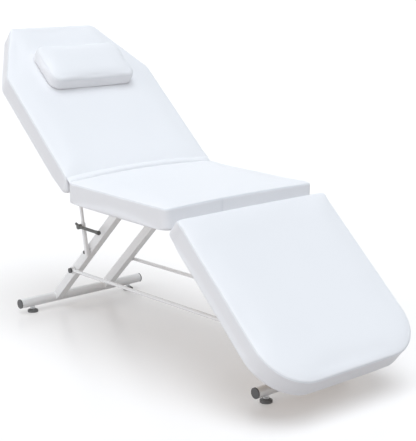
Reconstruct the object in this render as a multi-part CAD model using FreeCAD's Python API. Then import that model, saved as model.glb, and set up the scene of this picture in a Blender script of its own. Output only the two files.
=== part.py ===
import FreeCAD, Part
import math
import os

os.makedirs("parts", exist_ok=True)
V = FreeCAD.Vector
along_y = V(0, 1, 0)
right_angle = 90.0
half_turn = 180.0
full_turn = 360.0
half_share = 0.5

# Upholstered sections, in millimetres and degrees.
pad_width = 610.0
seat_length = 515.0
seat_thickness = 69.0
seat_underside = 486.0
backrest_length = 760.0
backrest_thickness = 59.0
backrest_tilt = 40.0
backrest_head_share = 0.585
backrest_shoulder_share = 0.685
backrest_end_gap = 4.5
backrest_tip_share = 0.36
backrest_toe = 16.0
legrest_length = 600.0
legrest_thickness = 67.0
legrest_drop = 41.5
pillow_width = 350.0
pillow_length = 180.0
pillow_thickness = 48.0
pillow_place_share = 0.687
pillow_shift = 5.0
cushion_gap = 0.5

# Shape of the padding: drawn-in edges and a crown.
side_level_shares = (0.0, 0.18, 0.64, 0.88, 1.0)
side_insets = (6.0, 0.0, 0.0, 3.0, 13.0)
crown_height = 6.0
crown_level_shares = (0.62, 1.0)
crown_inset_shares = (0.14, 0.33)
seat_corner = 24.0
hinge_corner = 9.0
shoulder_round = 60.0
head_round = 36.0
legrest_round = 140.0
pillow_round = 34.0
pillow_crown_inset_share = 0.19

# Plywood boards let into the underside of the padding.
board_thickness = 12.0
board_inset = 26.0
board_corner = 12.0

# Leg frame: box-section legs on round foot tubes.
leg_width = 31.0
leg_depth = 28.0
leg_wall = 1.5
leg_angle = 44.0
leg_spacing = 216.0
leg_cope = 6.0
rail_height = 20.0
rail_wall = 1.5
rail_overhang = 4.0
cross_rail_depth = 20.0
foot_tube_radius = 17.0
foot_tube_wall = 2.0
foot_tube_height = 38.0
head_leg_top_in = 50.2
foot_leg_top_in = 177.2
head_foot_length = 530.0
foot_foot_length = 370.0
plug_depth = 12.0
plug_rim = 4.0
head_foot_inset = 50.0
foot_foot_inset = 41.0
disc_radius = 19.0
disc_rim = 7.0
disc_height = 12.0
disc_neck_radius = 9.0
disc_socket = 4.0
foot_stud_radius = 5.0
foot_nut_width = 16.0
foot_nut_height = 5.0
foot_nut_sides = 6
bush_radius = 8.0
bush_length = 17.0
bush_drop = 2.0
thread_clearance = 0.08
running_clearance = 0.05

# Stretcher rods between the legs.
stretcher_height = 171.0
stretcher_rise = 22.0
stretcher_radius = 6.0
stretcher_eye_radius = 12.0
stretcher_eye_width = 10.0
stretcher_rod_start = 10.0
stretcher_stud_radius = 5.0
stretcher_washer = 2.5
stretcher_washer_radius = 9.0
stretcher_cap_radius = 9.0
stretcher_cap_length = 7.0
stretcher_cap_cover = 5.0
stud_head_radius = 8.0
stud_head_height = 5.0

# Butt hinges under the boards.
hinge_drop = 6.0
hinge_spacing = 400.0
hinge_knuckle_radius = 5.0
hinge_pin_radius = 3.0
hinge_leaf_width = 60.0
hinge_middle_width = 28.0
hinge_leaf_reach = 120.0
hinge_leaf_thickness = 3.0
hinge_leaf_relief = 7.0
hinge_side_gap = 0.5
backrest_hinge_back = 4.5
legrest_hinge_out = 0.5
hinge_screw_radius = 2.2
hinge_screw_length = 9.0
hinge_screw_head = 4.2
hinge_screw_head_height = 1.6
hinge_screw_shares = (0.64, 0.86)
hinge_screw_spread_share = 0.3
rail_screw_radius = 3.0
rail_screw_head = 5.5
rail_screw_head_height = 3.0
rail_screw_depth = 8.0
rail_screw_shares = (0.3, 0.5, 0.7)

# Telescoping struts with clamp levers.
sleeve_radius = 8.0
sleeve_foot = 14.0
backrest_sleeve_length = 104.0
backrest_clamp_place = 93.0
legrest_sleeve_length = 93.0
legrest_clamp_place = 78.0
strut_offset = 15.0
strut_rod_radius = 6.0
strut_rod_hold = 12.0
lug_thickness = 4.0
lug_gap = 1.0
lug_margin = 10.0
lug_weld = 2.0
strut_bolt_radius = 4.0
strut_bolt_head_radius = 6.2
strut_bolt_head_height = 8.0
backrest_strut_foot_height = 256.0
legrest_strut_foot_height = 260.0
backrest_strut_reach = 265.0
legrest_strut_reach = 200.0
strut_eye_drop = 31.0
strut_eye_radius = 9.0
strut_eye_width = 13.0
strut_pin_radius = 4.0
strut_pin_head_radius = 10.0
strut_pin_head_height = 3.0
strut_pin_play = 4.5
bracket_side_gap = 1.0
bracket_thickness = 4.0
bracket_round = 13.0
bracket_base_half = 30.0
bracket_base_thickness = 3.0
bracket_screw_share = 0.72

# Clamp levers.
clamp_boss_radius = 7.0
clamp_boss_length = 3.0
clamp_screw_radius = 4.0
clamp_tip_gap = 0.2
lever_hub_radius = 9.0
lever_hub_height = 12.5
lever_hub_gap = 0.5
lever_long_arm = 120.0
lever_short_arm = 20.0
lever_short_rise = 8.0
lever_root_radius = 5.8
lever_tip_radius = 4.5
lever_flare_radius = 7.5
lever_flare_length = 24.0
backrest_lever_angle = 0.0
legrest_lever_angle = 60.0

# Derived places.
half_width = pad_width * half_share
leg_y = leg_spacing * half_share
leg_outer = leg_y + leg_depth * half_share
leg_inner = leg_y - leg_depth * half_share
rail_under = seat_underside - rail_height
hinge_z = seat_underside - hinge_drop
backrest_hinge_x = -backrest_hinge_back
legrest_hinge_x = seat_length + legrest_hinge_out
leg_slope = math.radians(leg_angle)
leg_run = (rail_under - foot_tube_height) / math.tan(leg_slope)
head_foot_x = head_leg_top_in - leg_run
foot_foot_x = seat_length - foot_leg_top_in + leg_run


def leg_x(foot_x, sense, height):
    return foot_x + sense * (height - foot_tube_height) / math.tan(leg_slope)


def block(x0, x1, y0, y1, z0, z1):
    return Part.makeBox(x1 - x0, y1 - y0, z1 - z0, V(x0, y0, z0))


def bar(start, end, radius):
    return Part.makeCylinder(radius, (end - start).Length, start, end - start)


def y_bar(x, z, y0, y1, radius):
    return bar(V(x, min(y0, y1), z), V(x, max(y0, y1), z), radius)


def z_bar(x, y, z0, z1, radius):
    return bar(V(x, y, z0), V(x, y, z1), radius)


def cone(start, end, start_radius, end_radius):
    return Part.makeCone(start_radius, end_radius, (end - start).Length, start, end - start)


def inset_points(points, distance):
    moved = []
    count = len(points)
    for i in range(count):
        before = points[i - 1]
        here = points[i]
        after = points[(i + 1) % count]
        first = (here - before).normalize()
        second = (after - here).normalize()
        first_in = V(-first.y, first.x, 0)
        second_in = V(-second.y, second.x, 0)
        bend = first_in + second_in
        reach = distance / (half_share * bend.Length ** 2)
        moved.append(here + bend * reach)
    return moved


def outline(points, radii, height):
    edges = []
    arcs = []
    count = len(points)
    for i in range(count):
        here = points[i]
        to_before = (points[i - 1] - here).normalize()
        to_after = (points[(i + 1) % count] - here).normalize()
        half_angle = to_before.getAngle(to_after) * half_share
        reach = radii[i] / math.tan(half_angle)
        inward = (to_before + to_after).normalize()
        middle = here + inward * (radii[i] / math.sin(half_angle) - radii[i])
        arcs.append((here + to_before * reach, middle, here + to_after * reach))
    lift = V(0, 0, height)
    for i in range(count):
        start, middle, end = arcs[i]
        following = arcs[(i + 1) % count][0]
        edges.append(Part.Arc(start + lift, middle + lift, end + lift).toShape())
        edges.append(Part.LineSegment(end + lift, following + lift).toShape())
    return Part.Wire(edges)


def cushion(points_at, radii, base, thickness, crown_insets):
    wires = []
    for share, inset in zip(side_level_shares, side_insets):
        points = inset_points(points_at(share), inset)
        wires.append(outline(points, radii, base + thickness * share))
    for share, inset in zip(crown_level_shares, crown_insets):
        points = inset_points(points_at(side_level_shares[-1]), inset)
        shrunk = [radius * (1 - half_share * share) for radius in radii]
        wires.append(outline(points, shrunk, base + thickness + crown_height * share))
    return Part.makeLoft(wires, True, True)


def board(points, radii, base):
    inner = inset_points(points, board_inset)
    wire = outline(inner, [max(radius - board_inset, board_corner) for radius in radii], base)
    return Part.Face(wire).extrude(V(0, 0, board_thickness))


def rectangle(x0, x1, half):
    return [V(x0, -half, 0), V(x1, -half, 0), V(x1, half, 0), V(x0, half, 0)]


def tilt_backrest(shape):
    shape.rotate(V(backrest_hinge_x, 0, hinge_z), along_y, backrest_tilt)
    return shape


def drop_legrest(shape):
    shape.rotate(V(legrest_hinge_x, 0, hinge_z), along_y, legrest_drop)
    return shape


nodes = {}
crown_insets = [pad_width * share for share in crown_inset_shares]

# Seat: foam under leatherette on a plywood board.
seat_points = rectangle(0, seat_length, half_width)
seat_radii = [hinge_corner, seat_corner, seat_corner, hinge_corner]
seat_board = board(seat_points, seat_radii, seat_underside)
seat_pad = cushion(lambda share: seat_points, seat_radii, seat_underside, seat_thickness, crown_insets)
nodes["seat_cushion"] = seat_pad.cut(seat_board)
nodes["seat_board"] = seat_board

# Backrest: its lower end is cut so that it stands upright behind the seat when raised.
tilt = math.radians(backrest_tilt)
end_run = backrest_hinge_back - backrest_end_gap
end_base = end_run / math.cos(tilt)


def backrest_end(share):
    rise = hinge_drop + backrest_thickness * share
    tip_rise = hinge_drop + backrest_thickness * backrest_tip_share
    if share >= backrest_tip_share:
        return rise * math.tan(tilt) - end_base
    return tip_rise * math.tan(tilt) - end_base + backrest_toe * (1 - share / backrest_tip_share)


def backrest_points(share):
    head_x = backrest_hinge_x - backrest_length
    shoulder_x = backrest_hinge_x - backrest_length * backrest_shoulder_share
    end_x = backrest_hinge_x - backrest_end(share)
    head_half = half_width * backrest_head_share
    return [
        V(head_x, -head_half, 0),
        V(shoulder_x, -half_width, 0),
        V(end_x, -half_width, 0),
        V(end_x, half_width, 0),
        V(shoulder_x, half_width, 0),
        V(head_x, head_half, 0),
    ]


backrest_radii = [head_round, shoulder_round, hinge_corner, hinge_corner, shoulder_round, head_round]
backrest_board = board(backrest_points(0), backrest_radii, seat_underside)
backrest_pad = cushion(backrest_points, backrest_radii, seat_underside, backrest_thickness, crown_insets)
nodes["backrest_cushion"] = tilt_backrest(backrest_pad.cut(backrest_board))
nodes["backrest_board"] = tilt_backrest(backrest_board)

# Leg rest: square where it meets the seat, rounded at the foot end.
legrest_start = legrest_hinge_x + legrest_hinge_out
legrest_points = rectangle(legrest_start, legrest_hinge_x + legrest_length, half_width)
legrest_radii = [hinge_corner, legrest_round, legrest_round, hinge_corner]
legrest_board = board(legrest_points, legrest_radii, seat_underside)
legrest_pad = cushion(
    lambda share: legrest_points, legrest_radii, seat_underside, legrest_thickness, crown_insets
)
nodes["legrest_cushion"] = drop_legrest(legrest_pad.cut(legrest_board))
nodes["legrest_board"] = drop_legrest(legrest_board)

# Head pillow: lies on the backrest, held by hook-and-loop.
pillow_middle = backrest_hinge_x - backrest_length * pillow_place_share
pillow_half = pillow_length * half_share
pillow_base = seat_underside + backrest_thickness + crown_height + cushion_gap
pillow_corners = rectangle(
    pillow_middle - pillow_half, pillow_middle + pillow_half, pillow_width * half_share
)
pillow_points = [corner + V(0, pillow_shift, 0) for corner in pillow_corners]
pillow_radii = [pillow_round] * len(pillow_points)
pillow_insets = [pillow_length * pillow_crown_inset_share * share for share in crown_level_shares]
pillow_pad = cushion(
    lambda share: pillow_points, pillow_radii, pillow_base, pillow_thickness, pillow_insets
)
nodes["pillow"] = tilt_backrest(pillow_pad)

# Foot tubes with plugs, threaded bushes and levelling feet.
plugs = []
bushes = []
foot_cores = {}
feet = (
    ("head", head_foot_x, head_foot_length, head_foot_inset),
    ("foot", foot_foot_x, foot_foot_length, foot_foot_inset),
)
tube_bore = foot_tube_radius - foot_tube_wall
bush_low = foot_tube_height - foot_tube_radius - bush_drop
for end, x, length, inset in feet:
    half = length * half_share
    core = y_bar(x, foot_tube_height, -half, half, foot_tube_radius)
    tube = core.cut(y_bar(x, foot_tube_height, -half, half, tube_bore))
    for side, sign in (("near", -1), ("far", 1)):
        y = sign * (half - inset)
        hollow = z_bar(x, y, bush_low, bush_low + bush_length, bush_radius)
        tube = tube.cut(hollow)
        bore = z_bar(x, y, bush_low, bush_low + bush_length, foot_stud_radius + thread_clearance)
        bushes.append(hollow.cut(bore))
        rim = y_bar(x, foot_tube_height, sign * half, sign * (half + plug_rim), foot_tube_radius)
        stem = y_bar(x, foot_tube_height, sign * (half - plug_depth), sign * half, tube_bore)
        plugs.append(rim.fuse(stem).removeSplitter())
        rim_disc = z_bar(x, y, 0, disc_rim, disc_radius)
        neck = cone(V(x, y, disc_rim), V(x, y, disc_height), disc_radius, disc_neck_radius)
        socket = z_bar(x, y, disc_socket, disc_height, foot_stud_radius)
        nodes["foot_disc_" + end + "_" + side] = rim_disc.fuse(neck).removeSplitter().cut(socket)
        stud = z_bar(x, y, disc_socket, bush_low + bush_length - bush_drop, foot_stud_radius)
        nut_corner = foot_nut_width * half_share / math.cos(math.radians(half_turn / foot_nut_sides))
        nut_points = []
        for i in range(foot_nut_sides + 1):
            turn = math.radians(i * full_turn / foot_nut_sides)
            nut_x = x + nut_corner * math.cos(turn)
            nut_y = y + nut_corner * math.sin(turn)
            nut_points.append(V(nut_x, nut_y, disc_height))
        nut = Part.Face(Part.makePolygon(nut_points)).extrude(V(0, 0, foot_nut_height))
        nodes["foot_stud_" + end + "_" + side] = stud.fuse(nut).removeSplitter()
    foot_cores[end] = core
    nodes["foot_tube_" + end] = tube
nodes["foot_tube_plugs"] = Part.makeCompound(plugs)
nodes["foot_tube_bushes"] = Part.makeCompound(bushes)

# Slanted legs, coped on to the foot tubes and cut level under the seat rails.
strut_foot = {
    "head": (leg_x(head_foot_x, 1, backrest_strut_foot_height), backrest_strut_foot_height, -1),
    "foot": (leg_x(foot_foot_x, -1, legrest_strut_foot_height), legrest_strut_foot_height, 1),
}
stretcher_z = {"head": stretcher_height, "foot": stretcher_height + stretcher_rise}
stretcher_x = {
    "head": leg_x(head_foot_x, 1, stretcher_z["head"]),
    "foot": leg_x(foot_foot_x, -1, stretcher_z["foot"]),
}
leg_length = (rail_under - foot_tube_height) / math.sin(leg_slope) + leg_width
for end, x, sense in (("head", head_foot_x, 1), ("foot", foot_foot_x, -1)):
    for side, sign in (("near", -1), ("far", 1)):
        half_leg = leg_width * half_share
        half_depth = leg_depth * half_share
        outer = block(-half_leg, half_leg, -half_depth, half_depth, leg_cope, leg_length)
        bore_half = half_leg - leg_wall
        bore_depth = half_depth - leg_wall
        hollow = block(-bore_half, bore_half, -bore_depth, bore_depth, 0, leg_length)
        leg = outer.cut(hollow)
        leg.rotate(V(0, 0, 0), along_y, sense * (right_angle - leg_angle))
        leg.translate(V(x, sign * leg_y, foot_tube_height))
        top = rail_under + leg_length
        above = block(x - leg_length, x + leg_length, -pad_width, pad_width, rail_under, top)
        leg = leg.cut(above).cut(foot_cores[end])
        stud_hole = y_bar(
            stretcher_x[end], stretcher_z[end], sign * leg_y, sign * leg_outer, stretcher_stud_radius
        )
        leg = leg.cut(stud_hole)
        bolt_x, bolt_z, bolt_side = strut_foot[end]
        if sign == bolt_side:
            leg = leg.cut(y_bar(bolt_x, bolt_z, sign * leg_inner, sign * leg_outer, strut_bolt_radius))
        nodes["leg_" + end + "_" + side] = leg

# Seat rails that the legs are welded to, and cross rails between them.
half_cut = leg_width * half_share / math.sin(leg_slope)
rail_head = leg_x(head_foot_x, 1, rail_under) - half_cut - rail_overhang
rail_foot = leg_x(foot_foot_x, -1, rail_under) + half_cut + rail_overhang
rail_screws = []
for side, sign in (("near", -1), ("far", 1)):
    low_y = sign * leg_y - leg_depth * half_share
    high_y = sign * leg_y + leg_depth * half_share
    outer = block(rail_head, rail_foot, low_y, high_y, rail_under, seat_underside)
    hollow = block(
        rail_head,
        rail_foot,
        low_y + rail_wall,
        high_y - rail_wall,
        rail_under + rail_wall,
        seat_underside - rail_wall,
    )
    rail = outer.cut(hollow)
    for share in rail_screw_shares:
        screw_x = rail_head + (rail_foot - rail_head) * share
        screw_y = sign * leg_y
        screw_top = seat_underside + rail_screw_depth
        screw_low = rail_under - rail_screw_head_height
        shank = z_bar(screw_x, screw_y, rail_under, screw_top, rail_screw_radius)
        head = z_bar(screw_x, screw_y, screw_low, rail_under, rail_screw_head)
        rail = rail.cut(shank)
        rail_screws.append(shank.fuse(head).removeSplitter())
    nodes["seat_rail_" + side] = rail
for end, x, sense in (("head", head_foot_x, 1), ("foot", foot_foot_x, -1)):
    middle = leg_x(x, sense, rail_under)
    half_cross = cross_rail_depth * half_share
    outer = block(
        middle - half_cross, middle + half_cross, -leg_inner, leg_inner, rail_under, seat_underside
    )
    hollow = block(
        middle - half_cross + rail_wall,
        middle + half_cross - rail_wall,
        -leg_inner,
        leg_inner,
        rail_under + rail_wall,
        seat_underside - rail_wall,
    )
    nodes["cross_rail_" + end] = outer.cut(hollow)

# Stretcher rods on studs outside the legs.
washers = []
studs = []
caps = []
stud_seat = leg_outer - leg_wall
eye_inner = leg_outer + stretcher_washer
eye_outer = eye_inner + stretcher_eye_width
rod_y = eye_inner + stretcher_eye_width * half_share
for side, sign in (("near", -1), ("far", 1)):
    head_eye = V(stretcher_x["head"], sign * rod_y, stretcher_z["head"])
    foot_eye = V(stretcher_x["foot"], sign * rod_y, stretcher_z["foot"])
    inset = (foot_eye - head_eye).normalize() * stretcher_rod_start
    rod = bar(head_eye + inset, foot_eye - inset, stretcher_radius)
    for end, x in stretcher_x.items():
        z = stretcher_z[end]
        rod = rod.fuse(y_bar(x, z, sign * eye_inner, sign * eye_outer, stretcher_eye_radius))
    for end, x in stretcher_x.items():
        z = stretcher_z[end]
        rod = rod.cut(y_bar(x, z, sign * eye_inner, sign * eye_outer, stretcher_stud_radius))
        stud_end = eye_outer + stretcher_cap_cover
        shank = y_bar(x, z, sign * stud_seat, sign * stud_end, stretcher_stud_radius)
        head_start = stud_seat - stud_head_height
        head = y_bar(x, z, sign * head_start, sign * stud_seat, stud_head_radius)
        studs.append(shank.fuse(head).removeSplitter())
        washer = y_bar(x, z, sign * leg_outer, sign * eye_inner, stretcher_washer_radius)
        washers.append(washer.cut(shank))
        cap_end = eye_outer + stretcher_cap_length
        cap = y_bar(x, z, sign * eye_outer, sign * cap_end, stretcher_cap_radius)
        caps.append(cap.cut(shank))
    nodes["stretcher_" + side] = rod.removeSplitter()
nodes["stretcher_studs"] = Part.makeCompound(studs)
nodes["stretcher_washers"] = Part.makeCompound(washers)
nodes["stretcher_caps"] = Part.makeCompound(caps)


# Butt hinges: the seat carries the outer knuckles and the pin, the section the middle knuckle.
def leaf(axis_x, sense, y, middle):
    half_leaf = hinge_leaf_width * half_share
    half_middle = hinge_middle_width * half_share
    top = hinge_z + hinge_drop
    low = top - hinge_leaf_thickness
    inner = sorted((axis_x + sense * hinge_leaf_relief, axis_x + sense * hinge_leaf_reach))
    plate = block(inner[0], inner[1], y - half_leaf, y + half_leaf, low, top)
    if middle:
        spans = [(y - half_middle, y + half_middle)]
    else:
        spans = [
            (y - half_leaf, y - half_middle - hinge_side_gap),
            (y + half_middle + hinge_side_gap, y + half_leaf),
        ]
    for start, end in spans:
        bridge = sorted((axis_x, axis_x + sense * hinge_leaf_relief))
        plate = plate.fuse(block(bridge[0], bridge[1], start, end, low, top))
        plate = plate.fuse(y_bar(axis_x, hinge_z, start, end, hinge_knuckle_radius))
    bore = hinge_pin_radius + (running_clearance if middle else 0)
    plate = plate.cut(y_bar(axis_x, hinge_z, y - half_leaf, y + half_leaf, bore))
    screws = []
    for share in hinge_screw_shares:
        for spread in (-hinge_screw_spread_share, hinge_screw_spread_share):
            x = axis_x + sense * hinge_leaf_reach * share
            screw_y = y + spread * hinge_leaf_width
            shank = z_bar(x, screw_y, low, low + hinge_screw_length, hinge_screw_radius)
            head = z_bar(x, screw_y, low - hinge_screw_head_height, low, hinge_screw_head)
            plate = plate.cut(shank)
            screws.append(shank.fuse(head).removeSplitter())
    return plate.removeSplitter(), screws


seat_screws = []
section_screws = {"backrest": [], "legrest": []}
for section, axis_x, sense in (("backrest", backrest_hinge_x, -1), ("legrest", legrest_hinge_x, 1)):
    fixed_leaves = []
    moving_leaves = []
    pins = []
    for sign in (-1, 1):
        y = sign * hinge_spacing * half_share
        fixed, screws = leaf(axis_x, -sense, y, False)
        fixed_leaves.append(fixed)
        seat_screws.extend(screws)
        moving, screws = leaf(axis_x, sense, y, True)
        moving_leaves.append(moving)
        section_screws[section].extend(screws)
        half_leaf = hinge_leaf_width * half_share
        pins.append(y_bar(axis_x, hinge_z, y - half_leaf, y + half_leaf, hinge_pin_radius))
    nodes[section + "_hinge_seat_leaves"] = Part.makeCompound(fixed_leaves)
    nodes[section + "_hinge_pins"] = Part.makeCompound(pins)
    moving_group = Part.makeCompound(moving_leaves)
    nodes[section + "_hinge_leaves"] = (
        tilt_backrest(moving_group) if section == "backrest" else drop_legrest(moving_group)
    )


# Telescoping struts: a sleeve on the leg, a sliding rod with a cross pin, a bracket under the board.
def turned(point, axis, angle):
    x = point.x - axis.x
    z = point.z - axis.z
    c = math.cos(math.radians(angle))
    s = math.sin(math.radians(angle))
    return V(axis.x + x * c + z * s, 0, axis.z - x * s + z * c)


def strut_frame(foot, eye, offset):
    run = eye - foot
    span = math.hypot(run.x, run.z)
    angle = math.atan2(run.z, run.x) + math.asin(offset / span)
    length = math.sqrt(span ** 2 - offset ** 2)
    origin = V(foot.x + offset * math.sin(angle), 0, foot.z - offset * math.cos(angle))
    return origin, math.degrees(angle), length


sleeve_y = leg_outer + lug_gap + lug_thickness + sleeve_radius - lug_weld
lever_y = sleeve_y + sleeve_radius + clamp_boss_length + lever_hub_gap
strut_plans = (
    (
        "backrest",
        "head",
        -1,
        strut_offset,
        backrest_sleeve_length,
        backrest_clamp_place,
        backrest_hinge_x,
        -backrest_strut_reach,
        backrest_tilt,
        backrest_lever_angle,
    ),
    (
        "legrest",
        "foot",
        1,
        -strut_offset,
        legrest_sleeve_length,
        legrest_clamp_place,
        legrest_hinge_x,
        legrest_strut_reach,
        legrest_drop,
        legrest_lever_angle,
    ),
)
for section, end, sign, offset, sleeve_length, clamp_place, axis_x, reach, turn, lever_angle in strut_plans:
    axis = V(axis_x, 0, hinge_z)
    foot = V(strut_foot[end][0], 0, strut_foot[end][1])
    eye_flat = V(axis_x + reach, 0, seat_underside - strut_eye_drop)
    eye_rest = turned(eye_flat, axis, turn)
    origin, strut_angle, rest_length = strut_frame(foot, eye_rest, offset)
    flat_length = strut_frame(foot, eye_flat, offset)[2]
    longest = max(rest_length, flat_length)
    rod_length = longest - clamp_place + strut_rod_hold

    def stand(shape):
        shape.rotate(V(0, 0, 0), along_y, right_angle - strut_angle)
        shape.translate(origin)
        return shape

    y = sign * sleeve_y
    sleeve = z_bar(0, y, -sleeve_foot, sleeve_length, sleeve_radius)
    lug_low = leg_outer + lug_gap
    lug_y = sorted((sign * lug_low, sign * (lug_low + lug_thickness)))
    lug_reach = math.copysign(lug_margin, offset)
    lug_x = sorted((-offset - lug_reach, lug_reach * half_share))
    lug = block(lug_x[0], lug_x[1], lug_y[0], lug_y[1], -lug_margin, lug_margin)
    boss_end = sleeve_y + sleeve_radius + clamp_boss_length
    boss = y_bar(0, clamp_place, y, sign * boss_end, clamp_boss_radius)
    sleeve = sleeve.fuse(lug).fuse(boss)
    sleeve = sleeve.cut(z_bar(0, y, -sleeve_foot, sleeve_length, strut_rod_radius + running_clearance))
    sleeve = sleeve.cut(y_bar(-offset, 0, lug_y[0], lug_y[1], strut_bolt_radius + running_clearance))
    screw_bore = y_bar(0, clamp_place, y, sign * boss_end, clamp_screw_radius + running_clearance)
    nodes[section + "_strut_sleeve"] = stand(sleeve.cut(screw_bore).removeSplitter())

    rod = z_bar(0, y, rest_length - rod_length, rest_length, strut_rod_radius)
    half_eye = strut_eye_width * half_share
    rod = rod.fuse(y_bar(0, rest_length, y - half_eye, y + half_eye, strut_eye_radius))
    ear_inner = half_eye + bracket_side_gap
    ear_outer = ear_inner + bracket_thickness
    head_inner = ear_outer + bracket_side_gap
    head_outer = head_inner + strut_pin_head_height
    rod = rod.fuse(y_bar(0, rest_length, y - head_outer, y + head_outer, strut_pin_radius))
    for inner, outer in ((head_inner, head_outer), (-head_outer, -head_inner)):
        rod = rod.fuse(y_bar(0, rest_length, y + inner, y + outer, strut_pin_head_radius))
    nodes[section + "_strut_rod"] = stand(rod.removeSplitter())

    head_start = lug_low + lug_thickness + lug_gap
    head_end = head_start + strut_bolt_head_height
    bolt = y_bar(foot.x, foot.z, sign * leg_inner, sign * head_start, strut_bolt_radius)
    bolt_head = y_bar(foot.x, foot.z, sign * head_start, sign * head_end, strut_bolt_head_radius)
    nodes[section + "_strut_bolt"] = bolt.fuse(bolt_head).removeSplitter()

    hub_x = origin.x + clamp_place * math.cos(math.radians(strut_angle))
    hub_z = origin.z + clamp_place * math.sin(math.radians(strut_angle))
    tip_y = sleeve_y + strut_rod_radius + clamp_tip_gap
    lever = y_bar(hub_x, hub_z, sign * lever_y, sign * (lever_y + lever_hub_height), lever_hub_radius)
    lever = lever.fuse(y_bar(hub_x, hub_z, sign * tip_y, sign * lever_y, clamp_screw_radius))
    arm_y = sign * (lever_y + lever_hub_height * half_share)
    middle = V(hub_x, arm_y, hub_z)
    flare_start = middle + V(lever_long_arm - lever_flare_length, 0, 0)
    arm_end = middle + V(lever_long_arm, 0, 0)
    short_end = middle + V(-lever_short_arm, 0, lever_short_rise)
    arms = cone(middle, short_end, lever_root_radius, lever_tip_radius)
    arms = arms.fuse(bar(middle, flare_start, lever_root_radius))
    arms = arms.fuse(cone(flare_start, arm_end, lever_root_radius, lever_flare_radius))
    arms.rotate(middle, along_y, lever_angle)
    nodes[section + "_clamp_lever"] = lever.fuse(arms).removeSplitter()

    base_low = seat_underside - bracket_base_thickness
    bracket = block(
        eye_flat.x - bracket_base_half,
        eye_flat.x + bracket_base_half,
        y - ear_outer,
        y + ear_outer,
        base_low,
        seat_underside,
    )
    screws = []
    for inner, outer in ((ear_inner, ear_outer), (-ear_outer, -ear_inner)):
        ear_low = eye_flat.x - bracket_round
        ear_high = eye_flat.x + bracket_round
        pin_bore = strut_pin_radius + strut_pin_play
        plate = block(ear_low, ear_high, y + inner, y + outer, eye_flat.z, seat_underside)
        plate = plate.fuse(y_bar(eye_flat.x, eye_flat.z, y + inner, y + outer, bracket_round))
        plate = plate.cut(y_bar(eye_flat.x, eye_flat.z, y + inner, y + outer, pin_bore))
        bracket = bracket.fuse(plate)
    for step in (-bracket_screw_share, bracket_screw_share):
        screw_x = eye_flat.x + bracket_base_half * step
        shank = z_bar(screw_x, y, base_low, base_low + hinge_screw_length, hinge_screw_radius)
        head = z_bar(screw_x, y, base_low - hinge_screw_head_height, base_low, hinge_screw_head)
        bracket = bracket.cut(shank)
        section_screws[section].append(shank.fuse(head).removeSplitter())
    placed = tilt_backrest if section == "backrest" else drop_legrest
    nodes[section + "_strut_bracket"] = placed(bracket.removeSplitter())

# Screws fill their own holes in the boards.
nodes["seat_screws"] = Part.makeCompound(seat_screws + rail_screws)
nodes["seat_board"] = nodes["seat_board"].cut(nodes["seat_screws"])
for section, placed in (("backrest", tilt_backrest), ("legrest", drop_legrest)):
    group = placed(Part.makeCompound(section_screws[section]))
    nodes[section + "_screws"] = group
    nodes[section + "_board"] = nodes[section + "_board"].cut(group)

# The origin lies on the floor under the middle of the whole table.
low_x = min(shape.BoundBox.XMin for shape in nodes.values())
high_x = max(shape.BoundBox.XMax for shape in nodes.values())
middle_x = round((low_x + high_x) * half_share)
for name, shape in nodes.items():
    shape.translate(V(-middle_x, 0, 0))
    shape.exportStep("parts/" + name + ".step")
print("nodes", len(nodes), "middle", middle_x, "box", low_x, high_x)
print("backrest hinge", backrest_hinge_x - middle_x, hinge_z, "legrest hinge", legrest_hinge_x - middle_x)
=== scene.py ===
import math

import bmesh
import bpy
from mathutils import Matrix, Vector, noise
from mathutils.bvhtree import BVHTree


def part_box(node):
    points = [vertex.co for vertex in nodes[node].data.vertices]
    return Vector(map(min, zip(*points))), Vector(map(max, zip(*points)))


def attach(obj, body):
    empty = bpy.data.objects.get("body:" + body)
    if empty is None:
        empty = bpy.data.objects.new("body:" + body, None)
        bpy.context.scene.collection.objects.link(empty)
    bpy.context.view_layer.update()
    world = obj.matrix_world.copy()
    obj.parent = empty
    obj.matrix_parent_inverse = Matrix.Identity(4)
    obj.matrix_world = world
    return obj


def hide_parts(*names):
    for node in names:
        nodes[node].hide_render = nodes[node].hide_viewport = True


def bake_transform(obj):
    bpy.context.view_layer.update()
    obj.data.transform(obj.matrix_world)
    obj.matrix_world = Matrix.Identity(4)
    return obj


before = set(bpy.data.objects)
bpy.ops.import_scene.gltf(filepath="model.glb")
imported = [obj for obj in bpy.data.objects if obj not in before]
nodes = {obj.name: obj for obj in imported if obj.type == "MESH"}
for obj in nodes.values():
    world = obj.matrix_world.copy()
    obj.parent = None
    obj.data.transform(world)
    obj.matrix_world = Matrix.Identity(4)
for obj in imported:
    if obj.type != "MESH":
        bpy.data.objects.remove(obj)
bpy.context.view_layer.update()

mm = 0.001

# Legs, seat rails and foot tubes: mild steel tube, sawn and coped, welded into one
# trestle and sprayed with white powder. The box tubes have rolled edges.
tube_edge = 2.6 * mm
rail_edge = 1.8 * mm
leg_slope = math.radians(44.0)
leg_run = Vector((math.cos(leg_slope), 0, math.sin(leg_slope)))
tube_runs = {
    "leg_head_near": (leg_run, tube_edge), "leg_head_far": (leg_run, tube_edge),
    "leg_foot_near": (leg_run * Vector((-1, 0, 1)), tube_edge),
    "leg_foot_far": (leg_run * Vector((-1, 0, 1)), tube_edge),
    "seat_rail_near": (Vector((1, 0, 0)), rail_edge), "seat_rail_far": (Vector((1, 0, 0)), rail_edge),
    "cross_rail_head": (Vector((0, 1, 0)), rail_edge), "cross_rail_foot": (Vector((0, 1, 0)), rail_edge),
}
shortest_rolled = 100 * mm
same_point = 0.00002
crease_angle = math.radians(32)


def set_inputs(node, **values):
    for name, value in values.items():
        node.inputs[name.replace("_", " ").title()].default_value = value
    return node


def add(tree, kind, **values):
    return set_inputs(tree.nodes.new(kind), **values)


def mixer(tree, form="RGBA"):
    mix = add(tree, "ShaderNodeMix")
    mix.data_type = form
    return mix


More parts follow.
